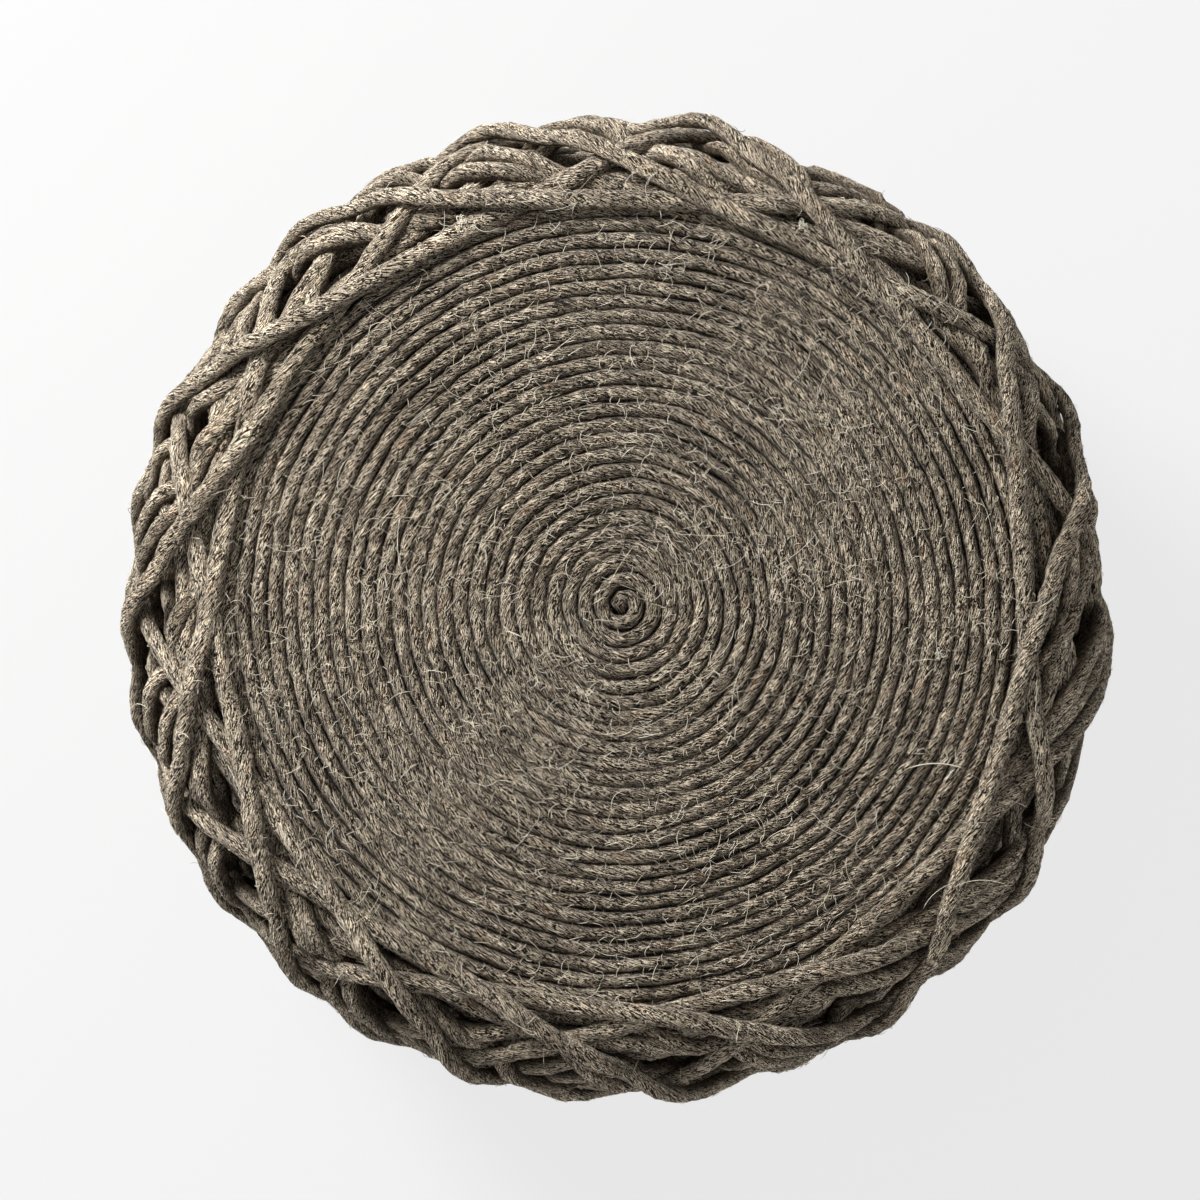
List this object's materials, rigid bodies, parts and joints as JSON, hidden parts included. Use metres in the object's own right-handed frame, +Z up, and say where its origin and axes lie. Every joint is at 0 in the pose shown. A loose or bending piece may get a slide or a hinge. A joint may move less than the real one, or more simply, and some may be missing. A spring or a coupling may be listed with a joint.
{
  "type": "wound wool pouf",
  "caption": "Round drum pouf of thick felted wool yarn, coiled flat on top and wound crosswise over the shoulder and side.",
  "frame": {"origin": "middle of the flat underside, on the axis of the pouf", "axes": "+Z up along the pouf's axis, +X and +Y across it; seen from above +Y is the top of the picture"},
  "size_m": [0.4989, 0.4985, 0.3488],
  "materials": {
    "wool_yarn": "matte felted wool, heathered grey-brown",
    "shaded_wool_yarn": "matte felted wool, heathered grey-brown, in shade"
  },
  "bodies": {
    "root": {"filled_body": "shaded_wool_yarn", "top_coil": "wool_yarn", "wrap_01": "wool_yarn", "wrap_02": "wool_yarn", "wrap_03": "wool_yarn", "wrap_04": "wool_yarn", "wrap_05": "wool_yarn", "wrap_06": "wool_yarn", "wrap_07": "wool_yarn", "wrap_08": "wool_yarn", "wrap_09": "wool_yarn", "wrap_10": "wool_yarn", "wrap_11": "wool_yarn", "wrap_12": "wool_yarn", "wrap_13": "wool_yarn", "wrap_14": "wool_yarn"}
  },
  "joints": []
}
